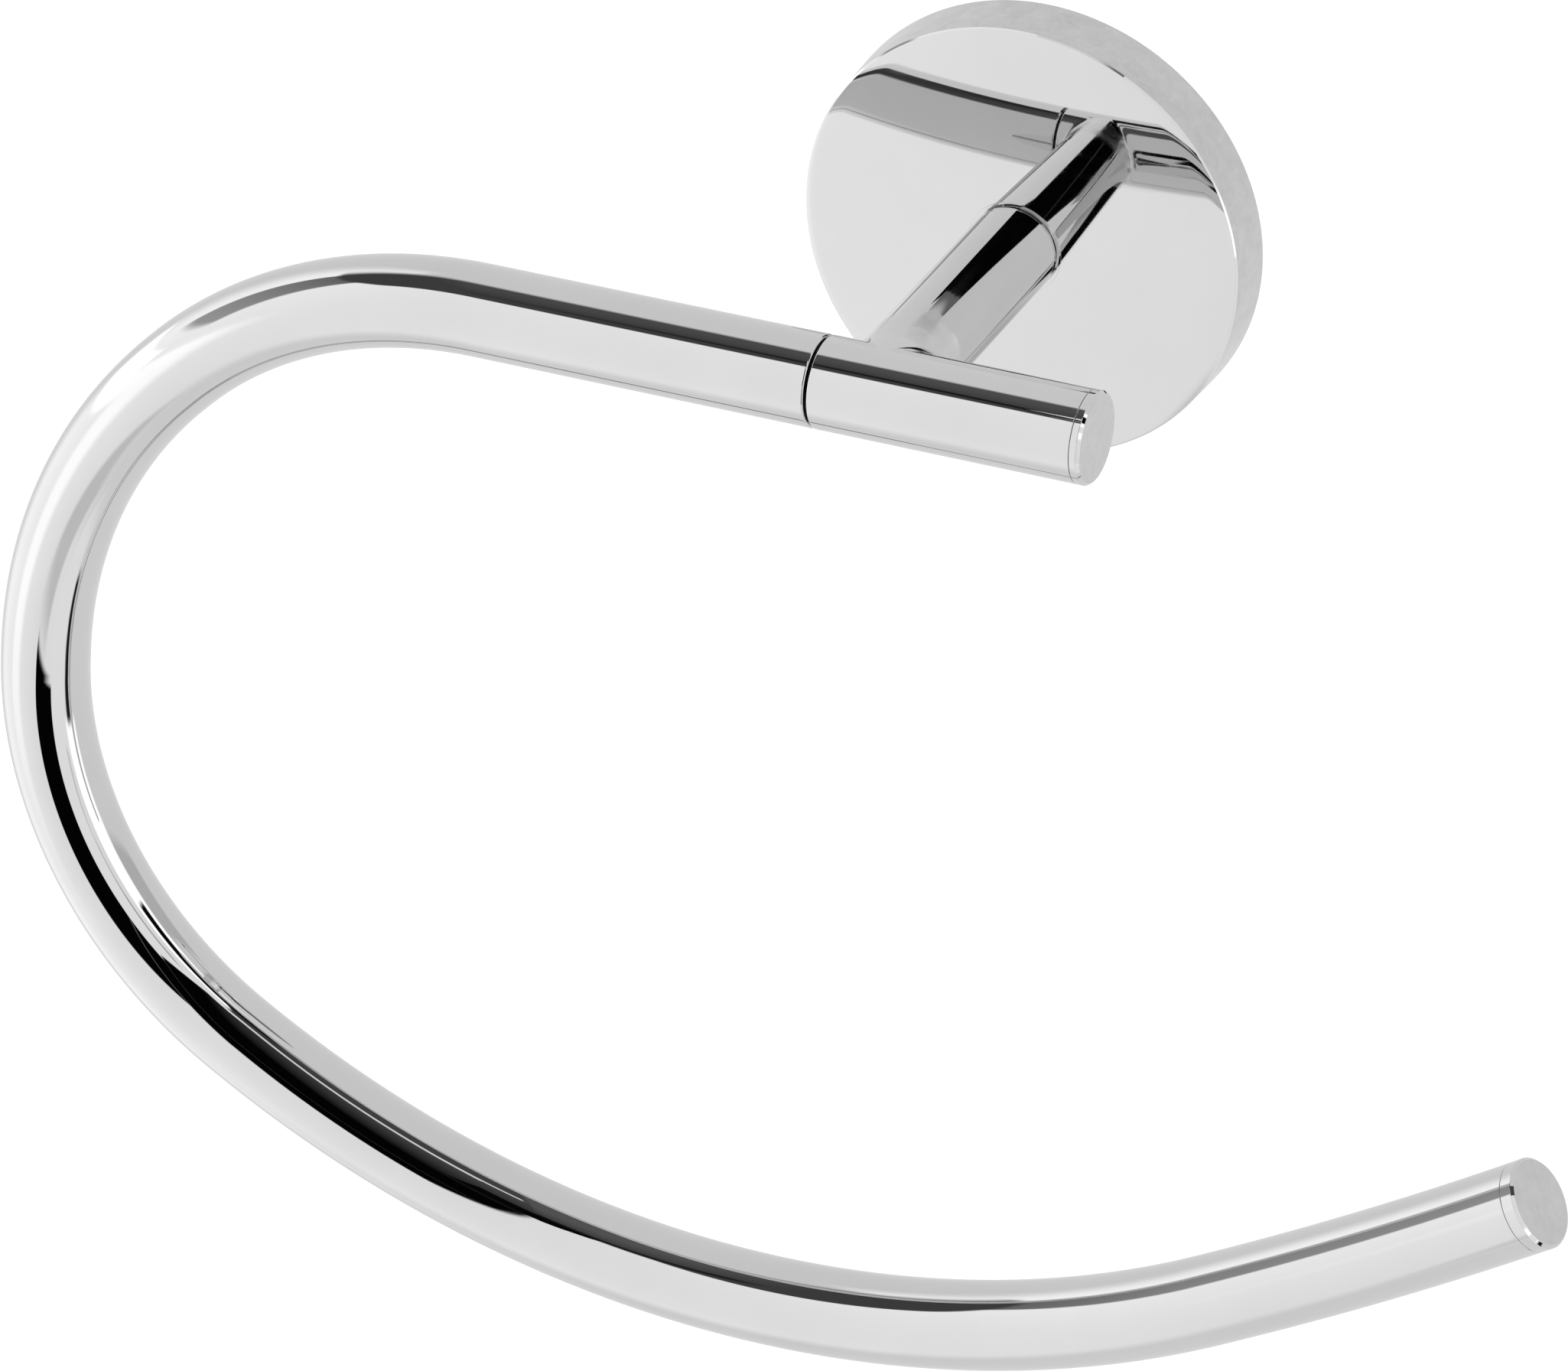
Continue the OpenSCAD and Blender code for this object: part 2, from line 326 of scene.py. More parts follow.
def chrome(name, tone=0.70, satin=0.0, ripple=0.0, grain=0.0, cloud=0.0, smoky=0.0):
    """Polished chrome plate: a mirror with faint haze, hairline polishing marks and a little waviness."""
    m, k, b, coords = material(name)
    haze = k.noise(coords, 55.0, 4.0, 0.6)
    fine = k.noise(coords, 900.0, 3.0, 0.65)
    lines = k.noise(stretched(k, coords, (30, 900, 900)), 1.0, 2.0, 0.5)
    lo, hi = tone - 0.012, tone + 0.012
    if cloud:
        # cloudy plate with a few darker smears
        patchy = k.noise(coords, 420.0, 5.0, 0.62, 0.6)
        smear = k.noise(stretched(k, coords, (180, 420, 180)), 1.0, 3.0, 0.55)
        lo, hi = tone - cloud * 0.6, tone + cloud * 0.5
        haze = k.math("ADD", k.math("MULTIPLY", haze, 0.35), k.math("MULTIPLY", patchy, 0.65))
        haze = k.math("SUBTRACT", haze, k.span(smear, 0.66, 0.80, 0.0, 0.30), clamp=True)
    col = k.ramp(haze, [(0.30, (lo, lo, lo * 1.002)), (0.70, (hi, hi, hi * 1.003))])
    k.tree.links.new(col, b.inputs["Base Color"])
    rough = k.math("ADD", k.span(haze, 0.35, 0.75, 0.015 + satin, 0.04 + satin * 1.35),
                   k.span(lines, 0.62, 0.80, 0.0, 0.03 + satin * 0.3))
    if grain:
        rough = k.math("ADD", rough, k.span(fine, 0.45, 0.75, 0.0, grain))
    if smoky:
        # buffed by hand, less brightly, where the post runs into the bar
        place = k.add("ShaderNodeSeparateXYZ", Vector=coords)
        y = place.outputs[1]
        zone = k.math("MULTIPLY", k.span(y, -0.0395, -0.0425), k.span(y, -0.0485, -0.0470))
        zone = k.math("MULTIPLY", zone, k.span(k.math("ABSOLUTE", place.outputs[0]), 0.0070, 0.0062))
        puff = k.noise(coords, 150.0, 4.0, 0.6, 0.8)
        rough = k.math("ADD", rough, k.math("MULTIPLY", zone, k.span(puff, 0.35, 0.65, smoky * 0.6, smoky)))
    k.tree.links.new(rough, b.inputs["Roughness"])
    wave = k.noise(coords, 90.0, 2.0, 0.4)
    height = k.math("ADD", k.math("MULTIPLY", wave, ripple), k.math("MULTIPLY", fine, 0.00000012 + grain * 0.0000035))
    bump = k.add("ShaderNodeBump", Height=height)
    bump.inputs["Strength"].default_value = 1.0
    bump.inputs["Distance"].default_value = 1.0
    k.tree.links.new(bump.outputs[0], b.inputs["Normal"])
    return m


def plated(name, base, dark, rough=0.38, scale=260.0, depth=0.00002, speck=0.5):
    """Dull plated or cast metal: cloudy tone, a fine grain and worn high spots."""
    m, k, b, coords = material(name)
    cloud = k.noise(coords, scale * 0.35, 5.0, 0.6)
    fine = k.noise(coords, scale * 6, 4.0, 0.7)
    vor = k.add("ShaderNodeTexVoronoi", Vector=coords, Scale=scale * 2.2)
    mixed = k.math("ADD", k.math("MULTIPLY", cloud, 1 - speck), k.math("MULTIPLY", vor.outputs["Distance"], speck))
    col = k.ramp(mixed, [(0.18, dark), (0.62, base), (0.9, tuple(min(1, c * 1.12) for c in base))])
    k.tree.links.new(col, b.inputs["Base Color"])
    k.tree.links.new(k.span(fine, 0.3, 0.75, rough - 0.09, rough + 0.12), b.inputs["Roughness"])
    bump = k.add("ShaderNodeBump", Height=k.math("ADD", fine, k.math("MULTIPLY", cloud, 0.6)))
    bump.inputs["Strength"].default_value = 0.6
    bump.inputs["Distance"].default_value = depth
    k.tree.links.new(bump.outputs[0], b.inputs["Normal"])
    return m


def turned(name, base, dark, axis_x=True, rough=0.24, painted_groove_shade=None):
    """Turned metal: fine rings round the axis, and a near-black band of painted shade on the collar in the groove,
    between two places along x.
    """
    m, k, b, coords = material(name)
    rings_ = k.noise(stretched(k, coords, (4200, 60, 60) if axis_x else (60, 4200, 60)), 1.0, 3.0, 0.55)
    cloud = k.noise(coords, 120.0, 4.0, 0.6)
    col = k.ramp(k.math("ADD", k.math("MULTIPLY", rings_, 0.55), k.math("MULTIPLY", cloud, 0.45)),
                 [(0.3, dark), (0.65, base)])
    rough_v = k.span(rings_, 0.3, 0.7, rough - 0.07, rough + 0.1)
    if painted_groove_shade:
        # painted shade: the collar in the groove is coloured near-black to stand in for the groove's shadow
        x = k.add("ShaderNodeSeparateXYZ", Vector=coords).outputs[0]
        groove_shade_mask = k.math("MULTIPLY", k.span(x, painted_groove_shade[0] - 0.00002, painted_groove_shade[0] + 0.00002),
                      k.span(x, painted_groove_shade[1] - 0.00002, painted_groove_shade[1] + 0.00002, 1.0, 0.0))
        mixc = k.tree.nodes.new("ShaderNodeMix")
        mixc.data_type = "RGBA"
        k.tree.links.new(groove_shade_mask, mixc.inputs[0])
        k.tree.links.new(col, mixc.inputs[6])
        groove_shade_colour = k.ramp(cloud, [(0.3, (0.004, 0.004, 0.004)), (0.7, (0.012, 0.012, 0.012))])
        k.tree.links.new(groove_shade_colour, mixc.inputs[7])
        col = mixc.outputs[2]
        rough_v = k.mix(groove_shade_mask, rough_v, 0.6)
    k.tree.links.new(col, b.inputs["Base Color"])
    k.tree.links.new(rough_v, b.inputs["Roughness"])
    bump = k.add("ShaderNodeBump", Height=rings_)
    bump.inputs["Strength"].default_value = 0.5
    bump.inputs["Distance"].default_value = 0.000006
    k.tree.links.new(bump.outputs[0], b.inputs["Normal"])
    return m


face_chrome = chrome("flange_face_chrome", 0.70, 0.0, 0.0000020)
rim_chrome = chrome("flange_rim_chrome", 0.655, 0.11, 0.0000018, 0.07, 0.13)
cast_back = plated("flange_inside_plate", (0.50, 0.50, 0.50), (0.34, 0.34, 0.345), 0.42, 220, 0.00003)
post_chrome = chrome("post_and_bar_chrome", 0.70, 0.0, 0.0000022, smoky=0.24)
tube_chrome = chrome("bent_tube_chrome", 0.70, 0.0, 0.0000012)
cap_chrome = chrome("end_cap_chrome", 0.70, 0.0, 0.0000010)
cap_face = chrome("end_cap_face_satin", 0.66, 0.12, 0.0000012, 0.12, 0.10)
zinc = plated("bracket_zinc_plate", (0.60, 0.61, 0.63), (0.42, 0.43, 0.45), 0.36, 180, 0.00002, 0.65)
steel = turned("screw_plated_steel", (0.60, 0.60, 0.62), (0.42, 0.42, 0.44), False, 0.28)
steel_bar = turned("arm_screw_plated_steel", (0.60, 0.60, 0.62), (0.42, 0.42, 0.44), True, 0.28)
oxide = plated("grub_dark_oxide", (0.07, 0.07, 0.072), (0.03, 0.03, 0.03), 0.4, 700, 0.000008)
# the insert's collar in the groove at the bar's left end gets near-black painted shade
brass = turned("insert_turned_brass", (0.78, 0.57, 0.26), (0.55, 0.38, 0.15), True, 0.26,
               (-BAR_LEFT * MM - GROOVE * MM, -BAR_LEFT * MM))


# ---------------------------------------------------------------- flange

FACE_R = 266.0                  # roundness of the face's middle
ROLL_R, ROLL = 28.0, 0.022      # from here out the face falls away faster
FACE_END = 29.83
BEVEL, BEVEL_TILT = 0.30, math.radians(40)


def face_height(r):
    return FACE_Z - r * r / (2 * FACE_R) - ROLL * np.maximum(r - ROLL_R, 0) ** 3 / 3


def face_slope(r):
    return r / FACE_R + ROLL * np.maximum(r - ROLL_R, 0) ** 2


def rim_edge():
    """The narrow polished bevel between the face and the rim, and the rim's direction."""
    a = np.array([FACE_END, float(face_height(FACE_END))])
    b = a + BEVEL * np.array([math.cos(BEVEL_TILT), -math.sin(BEVEL_TILT)])
    foot = np.array([FLANGE_R + DRAFT, 0.0])
    down = unit(foot - b)
    return a, b, foot, np.array([-down[1], down[0]])


def flange():
    s = Shell()
    a, b, foot, _ = rim_edge()
    seat_r = TUBE_R + 0.5
    prof = []
    lip = (seat_r, float(face_height(seat_r)))
    prof += poly([(5.1, PAD_Z, 0), (5.1, SEAT_Z, 0.08), (seat_r - 0.05, SEAT_Z, 0)], 3)
    prof.append(line((seat_r - 0.05, SEAT_Z), lip))
    rr = np.concatenate([np.linspace(seat_r, ROLL_R, 44), np.linspace(ROLL_R, FACE_END - 0.03, 23)[1:]])
    m = face_slope(rr)
    prof.append((np.stack([rr, face_height(rr)], 1), unit(np.stack([m, np.ones_like(m)], 1))))
    start = prof[-1][0][-1]
    bend = 0.12
    prof += poly([tuple(start), (*a, 0.05), (*b, 0.08), (foot[0], foot[1], bend), (foot[0] - 0.6, 0, 0)], 4, 1.3)
    prof += poly([(foot[0] - 0.6, 0, 0), (CAVITY_R + 0.0, 0, 0.2),
                  (CAVITY_R, math.sqrt((DOME_R - 2) ** 2 - CAVITY_R ** 2) + DOME_C, 0)], 4, 2.0)
    b0 = math.degrees(math.asin(CAVITY_R / (DOME_R - 2)))
    b1 = math.degrees(math.asin(8.5 / (DOME_R - 2)))
    prof.append(arc((0, DOME_C), DOME_R - 2, 90 - b0, 90 - b1, 16))
    inner = (8.5, math.sqrt((DOME_R - 2) ** 2 - 8.5 ** 2) + DOME_C)
    prof += poly([inner, (8.5, PAD_Z, 0.15), (5.1, PAD_Z, 0)], 3)

    def mark(r, z):
        if z < 0.3 or r < CAVITY_R + 0.05 and z < FACE_Z - 1.99 and r > 5.2:
            return 2
        if r > 29.97 and z < 7.85:
            return 1
        return 0

    lathe(s, prof, WALL, 288, mark)
    mesh = s.build("flange_cover_body")
    return mesh


flange_mesh = flange()

# the boss for the grub screw and its hole go through the rim from below
def box_mesh(name, lo, hi):
    m = bpy.data.meshes.new(name)
    x, y, z = zip(lo, hi)
    v = [(x[i], y[j], z[k]) for i in (0, 1) for j in (0, 1) for k in (0, 1)]
    f = [(0, 1, 3, 2), (4, 6, 7, 5), (0, 4, 5, 1), (2, 3, 7, 6), (0, 2, 6, 4), (1, 5, 7, 3)]
    m.from_pydata([tuple(c * MM for c in p) for p in v], [], f)
    m.update()
    return m


def rod_mesh(name, axis, r, z0, z1, n=64):
    """A closed rod for cutting a hole."""
    phi = np.arange(n) * 2 * math.pi / n
    c, s = np.cos(phi), np.sin(phi)
    one = np.ones(n)
    lo = axis.put(r * one, z0 * one, c, s)
    hi = axis.put(r * one, z1 * one, c, s)
    m = bpy.data.meshes.new(name)
    f = [(i, (i + 1) % n, n + (i + 1) % n, n + i) for i in range(n)]
    f += [tuple(range(n - 1, -1, -1)), tuple(range(n, 2 * n))]
    m.from_pydata([tuple(p * MM) for p in np.concatenate([lo, hi])], [], f)
    m.update()
    return m


def joined(mesh, steps):
    """mesh after joining or cutting other meshes, in order. Leaves no helper object behind."""
    scene = bpy.context.scene
    base = bpy.data.objects.new("work_base", mesh)
    scene.collection.objects.link(base)
    tools = []
    for how, other in steps:
        t = bpy.data.objects.new("work_tool", other)
        scene.collection.objects.link(t)
        tools.append(t)
        mod = base.modifiers.new("cut", "BOOLEAN")
        mod.operation, mod.object, mod.solver = how, t, "EXACT"
    deps = bpy.context.evaluated_depsgraph_get()
    out = bpy.data.meshes.new_from_object(base.evaluated_get(deps))
    for t in tools + [base]:
        bpy.data.objects.remove(t, do_unlink=True)
    # a cut that runs through a corner leaves slivers
    bm = bmesh.new()
    bm.from_mesh(out)
    bmesh.ops.remove_doubles(bm, verts=bm.verts[:], dist=0.0000015)
    bmesh.ops.dissolve_degenerate(bm, edges=bm.edges[:], dist=0.0000015)
    bm.to_mesh(out)
    bm.free()
    return out


def renormal(mesh, rule, limit=25.0):
    """Sets each corner's normal from rule(points, face normals) where it is near the face's own, or else the face's."""
    nl = len(mesh.loops)
    vi = np.zeros(nl, np.int32)
    mesh.loops.foreach_get("vertex_index", vi)
    co = np.zeros(len(mesh.vertices) * 3, np.float32)
    mesh.vertices.foreach_get("co", co)
    co = co.reshape(-1, 3)[vi].astype(float) / MM
    fn = np.zeros(len(mesh.polygons) * 3, np.float32)
    mesh.polygons.foreach_get("normal", fn)
    size = np.zeros(len(mesh.polygons), np.int32)
    mesh.polygons.foreach_get("loop_total", size)
    fn = np.repeat(fn.reshape(-1, 3).astype(float), size, 0)
    best = fn.copy()
    angle = np.full(nl, math.cos(math.radians(limit)))
    for cand, near in rule(co):
        d = (cand * fn).sum(1)
        hit = near & (d > angle)
        best[hit], angle[hit] = cand[hit], d[hit]
    mesh.polygons.foreach_set("use_smooth", np.ones(len(mesh.polygons), bool))
    mesh.normals_split_custom_set([tuple(c) for c in best])
    mesh.update()


def flange_rule(co):
    x, d, z = co[:, 0], -co[:, 1], co[:, 2]
    r = np.hypot(x, z)
    rad = np.stack([x, 0 * x, z], 1) / np.maximum(r, 1e-9)[:, None]
    out = np.array([0, -1.0, 0])
    a, b, foot, side = rim_edge()
    sph = unit(np.stack([x, -(d - DOME_C), z], 1))
    m = face_slope(r)
    yield unit(rad * m[:, None] + out), (abs(d - face_height(r)) < 0.012) & (r < FACE_END - 0.02)
    yield -sph, abs(np.hypot(r, d - DOME_C) - (DOME_R - 2)) < 0.01
    yield rad * math.sin(BEVEL_TILT) + out * math.cos(BEVEL_TILT), (r > FACE_END) & (d < a[1]) & (d > b[1])
    yield rad * side[0] + out * side[1], (r > 29.95) & (d < b[1] - 0.03)
    yield -rad, abs(r - CAVITY_R) < 0.02
    yield rad, abs(r - 8.5) < 0.02
    yield -rad, abs(r - 5.1) < 0.02
    f = 0.12
    ring = np.hypot(x, d - 3.2)
    yield -np.stack([x, -(d - 3.2), 0 * x], 1) / np.maximum(ring, 1e-9)[:, None], (abs(ring - 2.0) < 0.02) & (z < -20)


GRUB = Axis((0, -3.2, 0), (1, 0, 0), (0, 1, 0), (0, 0, 1))      # z is up, at the height of the grub screw
boss = box_mesh("grub_boss", (-4.5, -7.0, -CAVITY_R - 0.5), (4.5, -0.6, -25.8))
hole = rod_mesh("grub_hole", GRUB, 2.0, -33.0, -24.0)
for mesh in (flange_mesh, boss, hole):
    for m in (face_chrome, rim_chrome, cast_back):
        mesh.materials.append(m)
for mesh in (boss, hole):
    mesh.polygons.foreach_set("material_index", np.full(len(mesh.polygons), 2, np.int32))
cut_flange = joined(flange_mesh, [("UNION", boss), ("DIFFERENCE", hole)])
cut_flange.name = "flange_cover_body"
renormal(cut_flange, flange_rule)
fl = bpy.data.objects.new("flange_body", cut_flange)
bpy.context.scene.collection.objects.link(fl)
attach(fl, "root"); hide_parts("flange_cover")


# ---------------------------------------------------------------- post and bar

BLEND = 1.7


def tee(p):
    """Distance-like field of the post and bar, with a small rounding where they meet."""
    x, y, z = p[..., 0], p[..., 1] + REACH, p[..., 2]
    rp, rb = np.hypot(x, z), np.hypot(y, z)
    a, b = rp - TUBE_R, rb - TUBE_R
    dot = z * z / np.maximum(rp * rb, 1e-9)
    k = np.maximum(BLEND * (1 - dot * dot), 1e-4)
    h = np.maximum(k - np.abs(a - b), 0) / k
    return np.where(y > 0, np.minimum(a, b) - h ** 3 * k / 6, b)


def slope(p, h=1e-3):
    g = np.stack([tee(p + e) - tee(p - e) for e in np.eye(3) * h], -1)
    return unit(g)


def settle(p, strength):
    """Moves points onto the rounded surface; strength is 0 where they stay."""
    q = p.copy()
    for _ in range(8):
        q = q - (tee(q) * strength)[..., None] * slope(q)
    return q


def post_and_bar():
    s = Shell()
    nt = 108
    th = np.radians(-90 + np.arange(2 * nt + 1) * 180.0 / nt)
    co, si = np.cos(th), np.sin(th)
    edge_l, edge_r = 0.22, 0.06
    xl, xr = -BAR_LEFT + edge_l, BAR_RIGHT - BAR_CAP - CAP_GAP - edge_r
    half = slice(0, nt + 1)
    c, sn = np.maximum(co[half], 0), si[half]

    def on_bar(x, cc, ss):
        return np.stack(np.broadcast_arrays(x, -REACH + TUBE_R * cc, TUBE_R * ss), -1)

    # left of the post
    u = np.linspace(0, 1, 31)[:, None]
    g = 1 - (1 - u) ** 1.5
    left = on_bar(xl + (-TUBE_R * c - xl) * g, c, sn)
    # right of the post: fine steps near the joint, then long ones
    near = 2.4 * (np.linspace(0, 1, 30) ** 1.4)
    far = np.linspace(0, 1, 18)[1:]
    x0 = TUBE_R * c
    steps = np.concatenate([x0 + near[:, None], (x0 + 2.4) + (xr - x0 - 2.4) * far[:, None]])
    right = on_bar(steps, c, sn)
    # the bar's front half takes the same places along x, at its top and bottom
    fx = np.concatenate([left[:, -1, 0], right[1:, -1, 0]])
    fc, fs = co[nt:], si[nt:]
    front = on_bar(fx[:, None] + 0 * fc, fc, fs)
    # the post, from the joint to its foot
    foot = -(SEAT_Z + 0.55)
    yc = -REACH + TUBE_R * np.abs(co[:-1])
    drop = np.concatenate([yc + near[:, None], (yc + 2.4) + (foot - yc - 2.4) * np.linspace(0, 1, 30)[1:, None]])
    post = np.stack(np.broadcast_arrays(TUBE_R * co[:-1], drop, TUBE_R * si[:-1]), -1)
    for patch, wrap, fixed in ((left, False, 0), (right, False, -1), (front, False, None), (post, True, -1)):
        w = np.ones(patch.shape[:2])
        if fixed is not None:
            w[fixed] = 0
        else:
            w[0] = w[-1] = 0
        q = settle(patch, w)
        s.grid(q, slope(q), wrap)
    # turned ends of the bar
    n2 = 2 * nt
    web0 = -BAR_LEFT + 5.0
    web1 = web0 + 10.5
    end_x = BAR_RIGHT - BAR_CAP - CAP_GAP
    right_end = poly([(4.7, web1, 0), (4.7, end_x, 0.15), (TUBE_R, end_x, edge_r), (TUBE_R, xr, 0)], 4, 4.0)
    # profiles run with the solid on the right, seen with r to the right and z up
    lathe(s, right_end[:], BAR, n2, phase=-90)
    bore = poly([(4.7, web1, 0), (2.75, web1, 0.0), (2.75, web0, 0.0), (3.5, web0, 0), (3.5, -BAR_LEFT, 0.2),
                 (TUBE_R, -BAR_LEFT, edge_l), (TUBE_R, xl, 0)][::-1], 5, 4.0)
    lathe(s, bore, BAR, n2, phase=-90)
    # foot of the post: neck, shoulder, keyed spigot and the tapped bore
    b = 0.06
    foot_p = poly([(TUBE_R, -foot, 0), (TUBE_R - 0.25, SEAT_Z + 0.3, b), (TUBE_R - 0.5, SEAT_Z + 0.3, 0),
                   (TUBE_R - 0.5, SEAT_Z, 0), (5.0, SEAT_Z, 0)], 3)
    lathe(s, foot_p, WALL, n2, phase=-90)
    key = lambda a: np.minimum(5.0, 4.0 / np.maximum(np.abs(np.sin(a)), 1e-6))
    rings(s, WALL, n2, [5.0, key, key, 3.0, 3.0, 0.0],
          [SEAT_Z, SEAT_Z, PAD_Z + 0.2, PAD_Z + 0.2, PAD_Z + 20, PAD_Z + 20], phase=-90)
    return s


tee_mesh = post_and_bar().build("post_and_bar_body")
piece("post_and_bar_body", tee_mesh, "post_and_bar", [post_chrome])


# ---------------------------------------------------------------- bent tube

def route():
    """The tube's centre line as stretches (points, directions), x to the left and y down from the bar's end."""
    out, p, h = [], np.array([GROOVE, 0.0]), 0.0

    def go(length, k):
        nonlocal p
        t = np.linspace(0, length, k + 1)
        d = np.array([math.cos(h), math.sin(h)])
        out.append((p + t[:, None] * d, np.tile(d, (k + 1, 1))))
        p = p + length * d

    go(RUN_IN - GROOVE, 12)
    for i, (r, deg) in enumerate(BENDS):
        a = np.linspace(0, math.radians(deg), max(12, int(deg * 1.25)) + 1)
        c = p + r * np.array([-math.sin(h), math.cos(h)])
        pts = c + r * np.stack([np.sin(h + a), -np.cos(h + a)], 1)
        out.append((pts, np.stack([np.cos(h + a), np.sin(h + a)], 1)))
        p, h = pts[-1], h + a[-1]
        if i < len(BENDS) - 1:
            go(LINK, 1)
    return out, p, h


stretches, tip_p, tip_h = route()


def loop_point(q, h_dir, r, ang):
    """A point of the tube's wall: q on the centre line, going along h_dir, r out at the angle ang from the plane's normal."""
    side = np.stack([-h_dir[..., 1], h_dir[..., 0]], -1)
    x = q[..., 0] + r * side[..., 0] * np.cos(ang)
    y = q[..., 1] + r * side[..., 1] * np.cos(ang)
    out = r * np.sin(ang) + 0 * x
    return np.stack([-BAR_LEFT - x, -REACH - out, -y], -1)


def bent_tube():
    s = Shell()
    n = 160
    ang = np.arange(n) * 2 * math.pi / n
    rim0, rim1 = 0.28, 0.07
    q = np.concatenate([a for a, _ in stretches])
    d = np.concatenate([b for _, b in stretches])
    keep = np.r_[True, np.linalg.norm(np.diff(q, axis=0), axis=1) > 1e-9]
    q, d = q[keep], d[keep]

    def skin(qq, dd, r, sign, flip_n=None):
        p = loop_point(qq[:, None], dd[:, None], r, ang[None, :])
        c = loop_point(qq[:, None], dd[:, None], 0.0, ang[None, :])
        nn = unit(p - c) * sign
        return p, nn

    start, end = q[0], q[-1]
    q_out = np.concatenate([[start + rim0 * d[0]], q[1:-1], [end - rim1 * d[-1]]])
    d_out = np.concatenate([[d[0]], d[1:-1], [d[-1]]])
    s.grid(*skin(q_out, d_out, TUBE_R, 1))
    # rounded edges at both ends
    for place, way, r in ((start, d[0], rim0), (end, -d[-1], rim1)):
        k = 6
        rr, back = [], []
        for a in np.radians(np.linspace(0, 90, k + 1)):
            rr.append(TUBE_R - r + r * math.cos(a))
            back.append(r - r * math.sin(a))
        pts, nor = [], []
        head = d[0] if place is start else d[-1]
        for a, ra, ba in zip(np.radians(np.linspace(0, 90, k + 1)), rr, back):
            p, nn = skin((place + ba * way)[None], head[None], ra, 1)
            ax = np.array([-way[0], 0, -way[1]])
            pts.append(p[0])
            nor.append(nn[0] * math.cos(a) - ax * math.sin(a))
        s.grid(np.array(pts), np.array(nor))
        # end face
        p0, _ = skin(place[None], head[None], TUBE_R - r, 1)
        p1, _ = skin(place[None], head[None], BORE_R, 1)
        face = np.broadcast_to(-np.array([-way[0], 0, -way[1]]), p0[0].shape)
        s.grid(np.array([p0[0], p1[0]]), np.array([face, face]))
    sel = np.unique(np.r_[0, np.arange(0, len(q), 2), len(q) - 1])
    s.grid(*skin(q[sel], d[sel], BORE_R, -1), mark=1)
    return s


bore_plate = plated("tube_bore_steel", (0.36, 0.36, 0.37), (0.22, 0.22, 0.22), 0.45, 160, 0.00002)
tube_mesh = bent_tube().build("arm_tube_body")
piece("arm_tube_body", tube_mesh, "arm_tube", [tube_chrome, bore_plate])


# ---------------------------------------------------------------- end caps

def cap(name, axis, length, plug_r, plug_l, node, n=160):
    s = Shell()
    bevel_r, bevel_z = 0.36, 0.42
    prof = poly([(0, length, 0), (TUBE_R - bevel_r, length, 0.10), (TUBE_R, length - bevel_z, 0.12), (TUBE_R, 0, 0.05),
                 (plug_r, 0, 0), (plug_r, -plug_l, 0.4), (0, -plug_l, 0)], 6, 1.2)
    lathe(s, prof, axis, n, lambda r, z: 1 if z > length - 0.01 and r < TUBE_R - bevel_r else (2 if z < 0.001 else 0))
    return piece(name, s.build(name), node, [cap_chrome, cap_face, cast_back])


cap("bar_end_cap_body", Axis((BAR_RIGHT - BAR_CAP, -REACH, 0), (0, 1, 0), (0, 0, 1), (1, 0, 0)), BAR_CAP, 4.7, 5.0, "bar_end_cap")
way = np.array([-math.cos(tip_h), 0, -math.sin(tip_h)])
tip0 = np.array([-BAR_LEFT - tip_p[0], -REACH, -tip_p[1]]) + CAP_GAP * way
cap("tip_end_cap_body", Axis(tip0, (0, -1, 0), np.cross(way, (0, -1.0, 0)), way), TIP_CAP, BORE_R - 0.04, 6.0, "tip_end_cap")


# ---------------------------------------------------------------- inside the flange

